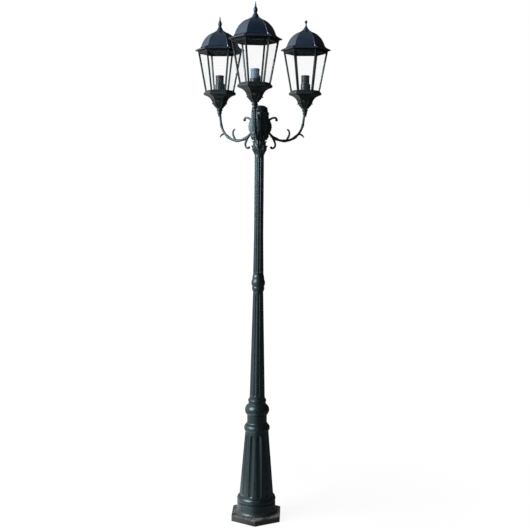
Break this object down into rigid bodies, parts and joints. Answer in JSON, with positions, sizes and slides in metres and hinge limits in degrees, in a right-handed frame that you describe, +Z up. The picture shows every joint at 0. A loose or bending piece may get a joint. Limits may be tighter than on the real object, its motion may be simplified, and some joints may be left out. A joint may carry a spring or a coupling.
{
  "type": "garden lamp post",
  "caption": "Tall garden lamp post with a hexagonal foot, fluted tapering shaft and scrolled arms carrying six-sided glazed lanterns with lift-off roofs.",
  "frame": {"origin": "centre of the anchor hole circle, on the underside of the foot", "axes": "+Z up along the post; the front arm points along -Y and the other two arms stand 120 degrees to each side"},
  "size_m": [0.618, 0.5457, 2.3],
  "materials": {
    "post_paint": "dark green-black satin paint on cast aluminium",
    "foot_paint": "brown-black satin paint on cast aluminium",
    "lantern_paint": "dark green-grey satin paint on cast aluminium",
    "roof_paint": "blue-black satin paint on cast aluminium",
    "clear_glass": "clear flat glass",
    "holder_plastic": "dark moulded plastic",
    "holder_pale": "pale blue-grey moulded plastic",
    "brass": "plain brass",
    "zinc_steel": "zinc-plated steel",
    "white_plastic": "white moulded plastic",
    "cable_rubber": "black rubber sheath"
  },
  "bodies": {
    "post": {"foot_plate": "foot_paint", "pedestal": "post_paint", "neck_casting": "post_paint", "lower_shaft": "post_paint", "shaft_coupling": "post_paint", "upper_shaft": "post_paint", "capital": "post_paint", "arm_hub": "post_paint", "hub_cap": "post_paint", "arm_front": "post_paint", "arm_left": "post_paint", "arm_right": "post_paint", "arm_bolts": "zinc_steel", "joint_locknuts": "zinc_steel", "neck_nipple": "zinc_steel", "coupling_nipple": "zinc_steel", "capital_nipple": "zinc_steel", "lantern_nipples": "zinc_steel", "lantern_locknuts": "zinc_steel", "wire_splice": "white_plastic", "terminal_bracket": "zinc_steel", "bracket_screws": "zinc_steel", "terminal_block": "white_plastic", "post_cable": "cable_rubber", "arm_lead_front": "cable_rubber", "arm_lead_left": "cable_rubber", "arm_lead_right": "cable_rubber"},
    "lantern_front": {"cup_front": "lantern_paint", "tray_front": "lantern_paint", "cage_front": "lantern_paint", "panes_front": "clear_glass", "holder_base_front": "holder_plastic", "holder_body_front": "holder_pale", "holder_screws_front": "zinc_steel", "socket_shell_front": "brass"},
    "roof_front": {"roof_front": "roof_paint", "roof_screws_front": "zinc_steel", "finial_front": "roof_paint"},
    "lantern_left": {"cup_left": "lantern_paint", "tray_left": "lantern_paint", "cage_left": "lantern_paint", "panes_left": "clear_glass", "holder_base_left": "holder_plastic", "holder_body_left": "holder_plastic", "holder_screws_left": "zinc_steel", "socket_shell_left": "brass"},
    "roof_left": {"roof_left": "roof_paint", "roof_screws_left": "zinc_steel", "finial_left": "roof_paint"},
    "lantern_right": {"cup_right": "lantern_paint", "tray_right": "lantern_paint", "cage_right": "lantern_paint", "panes_right": "clear_glass", "holder_base_right": "holder_plastic", "holder_body_right": "holder_plastic", "holder_screws_right": "zinc_steel", "socket_shell_right": "brass"},
    "roof_right": {"roof_right": "roof_paint", "roof_screws_right": "zinc_steel", "finial_right": "roof_paint"}
  },
  "joints": [
    {"name": "lantern_turn_front", "type": "hinge", "parent": "post", "child": "lantern_front", "pos_m": [0, -0.2267, 1.873], "axis": [0, 0, 1], "range_deg": [-45, 45]},
    {"name": "roof_lift_front", "type": "slide", "parent": "lantern_front", "child": "roof_front", "axis": [0, 0, 1], "range_m": [0, 0.3]},
    {"name": "lantern_turn_left", "type": "hinge", "parent": "post", "child": "lantern_left", "pos_m": [-0.19633, 0.11335, 1.873], "axis": [0, 0, 1], "range_deg": [-45, 45]},
    {"name": "roof_lift_left", "type": "slide", "parent": "lantern_left", "child": "roof_left", "axis": [0, 0, 1], "range_m": [0, 0.3]},
    {"name": "lantern_turn_right", "type": "hinge", "parent": "post", "child": "lantern_right", "pos_m": [0.19633, 0.11335, 1.873], "axis": [0, 0, 1], "range_deg": [-45, 45]},
    {"name": "roof_lift_right", "type": "slide", "parent": "lantern_right", "child": "roof_right", "axis": [0, 0, 1], "range_m": [0, 0.3]}
  ]
}
